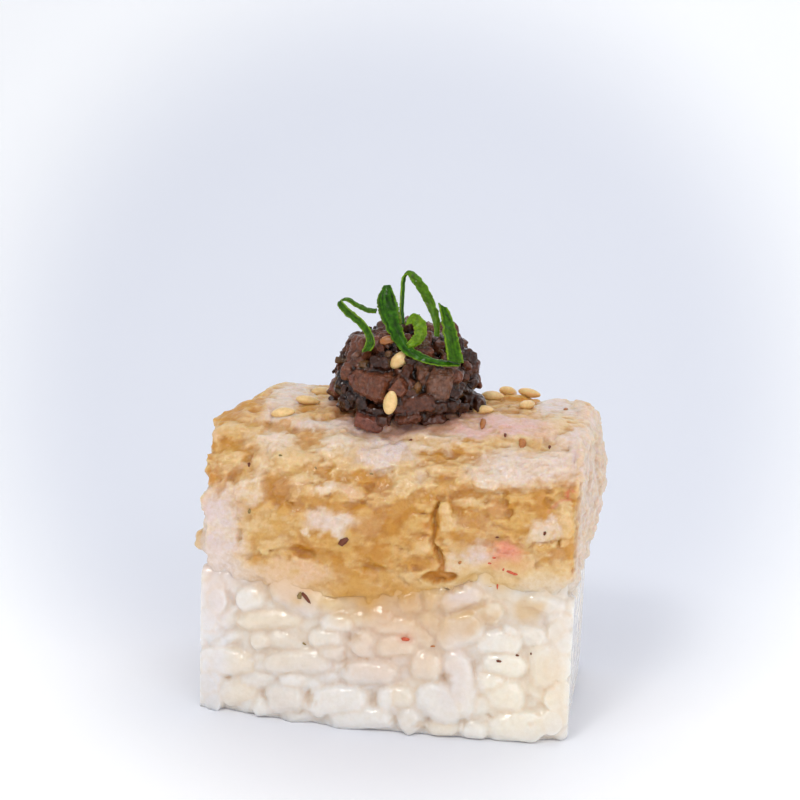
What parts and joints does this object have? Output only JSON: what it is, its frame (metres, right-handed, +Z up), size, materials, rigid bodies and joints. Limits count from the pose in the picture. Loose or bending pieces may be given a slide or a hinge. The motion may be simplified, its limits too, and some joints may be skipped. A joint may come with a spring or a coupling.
{
  "type": "shrimp tempura oshi sushi",
  "caption": "Pressed block of rice under a thick layer of shrimp tempura, topped with a mound of chopped simmered mushroom, green onion shreds and sesame.",
  "frame": {"origin": "on the flat underside of the rice, under the middle of the block", "axes": "+Z up through the mound; -Y out of the cracked front face; +X to the right of the front face, along the block"},
  "size_m": [0.0489, 0.0324, 0.0555],
  "materials": {
    "rice": "moist, slightly translucent, cooked rice",
    "tempura": "pale pressed batter and prawn, satin to moist",
    "mushroom": "dark simmered mushroom, glossy and wet",
    "green": "fresh green onion, satin"
  },
  "bodies": {
    "root": {"rice": "rice", "shrimp_tempura": "tempura", "mushroom_mound": "mushroom", "green_shred_left": "green", "green_shred_leaf": "green", "green_shred_arch": "green", "green_shred_right": "green", "green_shred_curl": "green"}
  },
  "joints": []
}
